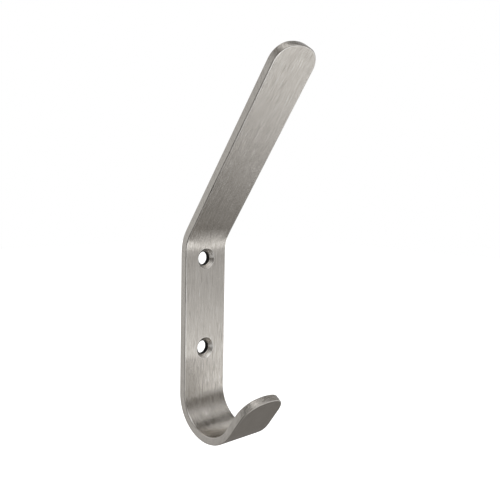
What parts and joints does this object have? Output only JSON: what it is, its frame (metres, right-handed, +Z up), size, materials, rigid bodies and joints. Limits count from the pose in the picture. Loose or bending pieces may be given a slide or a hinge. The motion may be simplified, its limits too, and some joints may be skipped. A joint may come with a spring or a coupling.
{
  "type": "hat and coat hook",
  "caption": "Wall hook folded from satin stainless flat bar: a long forward-leaning arm for a hat, a plate with countersunk screw holes, and a curled coat hook below.",
  "frame": {"origin": "midway between the centres of the screw holes, on the face that lies against the wall", "axes": "+Z up along the plate towards the arm, +Y into the wall (the arm and the hook reach out towards -Y), +X across the bar"},
  "size_m": [0.02, 0.0501, 0.1429],
  "materials": {
    "brushed_stainless": "satin stainless steel, finely brushed along the bar, with softly broken edges"
  },
  "bodies": {
    "root": {"hook_strap": "brushed_stainless"}
  },
  "joints": []
}
